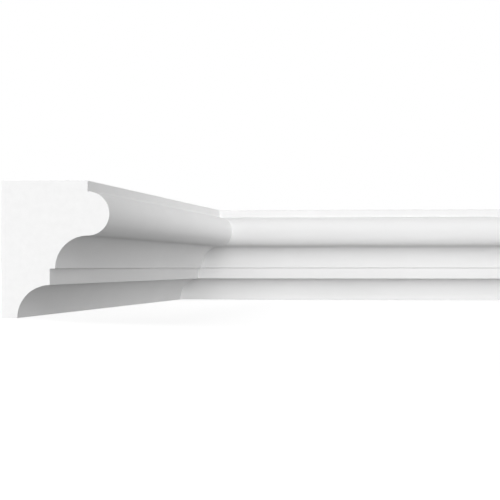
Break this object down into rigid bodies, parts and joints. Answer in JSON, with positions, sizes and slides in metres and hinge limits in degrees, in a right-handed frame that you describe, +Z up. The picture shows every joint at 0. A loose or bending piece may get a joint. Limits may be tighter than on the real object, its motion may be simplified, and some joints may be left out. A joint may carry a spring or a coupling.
{
  "type": "cornice moulding",
  "caption": "Cornice moulding mitred round an inside corner, with coves, flat fillets and a half-round bead, that covers the join between walls and ceiling.",
  "frame": {"origin": "foot of the room corner: on the line where the two wall faces meet, at the level of the moulding's lower edge", "axes": "+Z up, from the foot to the ceiling face; +X from the corner along the right wall; -Y from the corner along the left wall, towards the viewer"},
  "size_m": [2, 1, 0.125],
  "materials": {
    "white_primed_foam": "matte"
  },
  "bodies": {
    "root": {"left_length": "white_primed_foam", "right_length": "white_primed_foam"}
  },
  "joints": []
}
